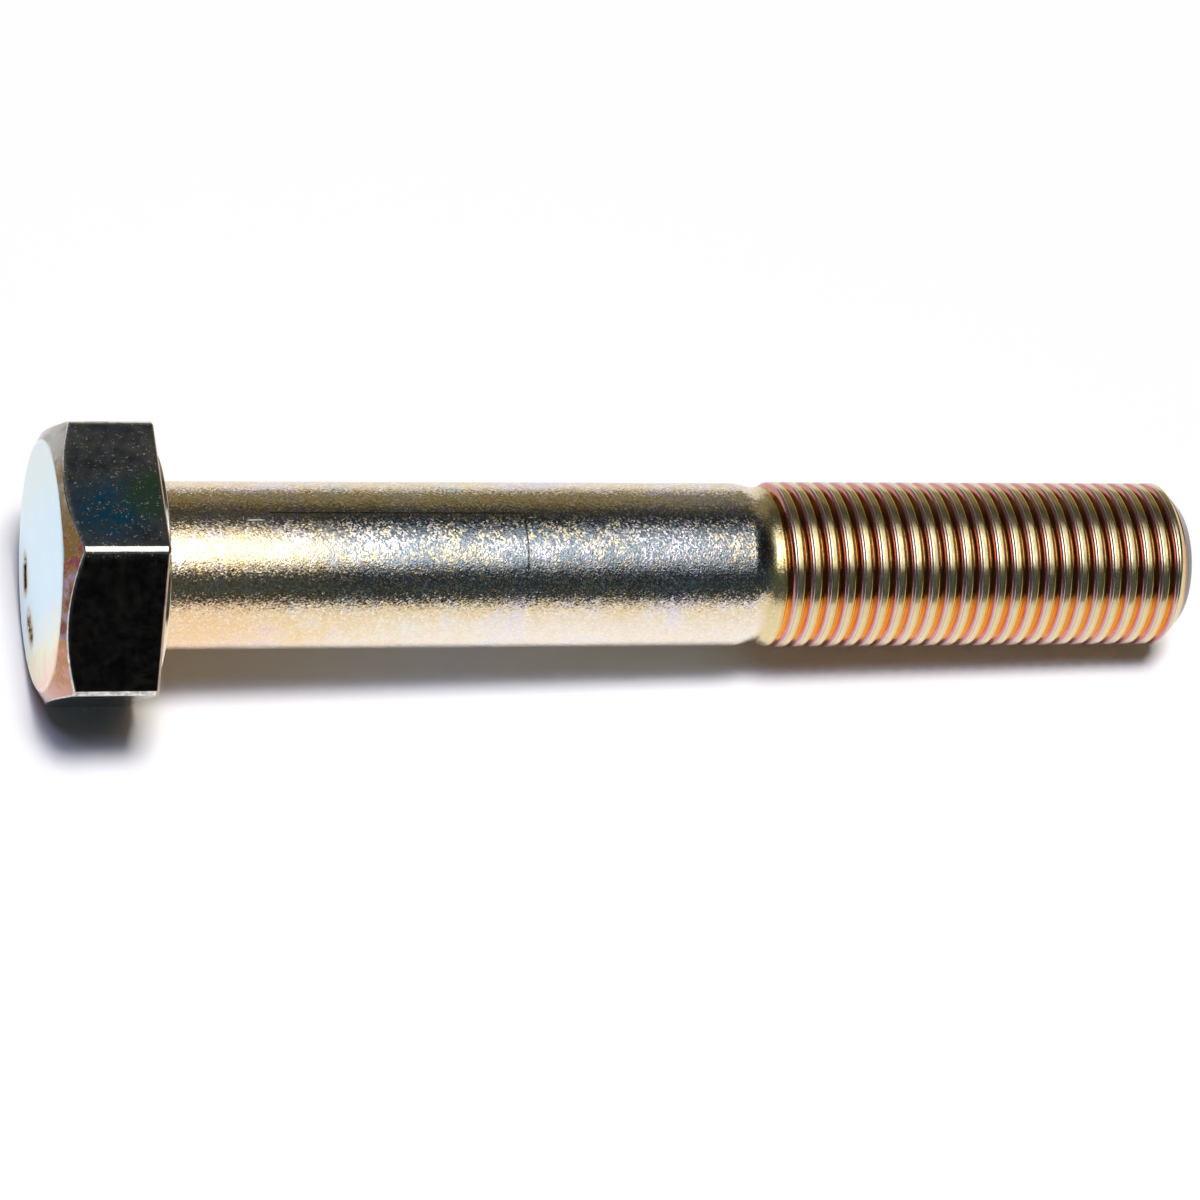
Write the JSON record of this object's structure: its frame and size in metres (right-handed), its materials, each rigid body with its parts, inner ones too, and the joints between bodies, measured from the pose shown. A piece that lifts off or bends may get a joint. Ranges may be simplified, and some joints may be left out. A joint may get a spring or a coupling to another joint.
{
  "type": "hex bolt",
  "caption": "Hexagon head bolt with a washer face, a plain shank and a fine right-hand thread, in yellow zinc plated steel.",
  "frame": {"origin": "on the bolt's axis, in the plane of the bearing face under the head", "axes": "+X along the axis from the head to the point, +Z the normal of one of the head's six flats, so two opposite corners of the hexagon lie along Y"},
  "size_m": [0.0988, 0.0252, 0.022],
  "materials": {
    "yellow_zinc_steel": "yellow zinc dichromate plating, iridescent, satin"
  },
  "bodies": {
    "root": {"hex_bolt": "yellow_zinc_steel"}
  },
  "joints": []
}
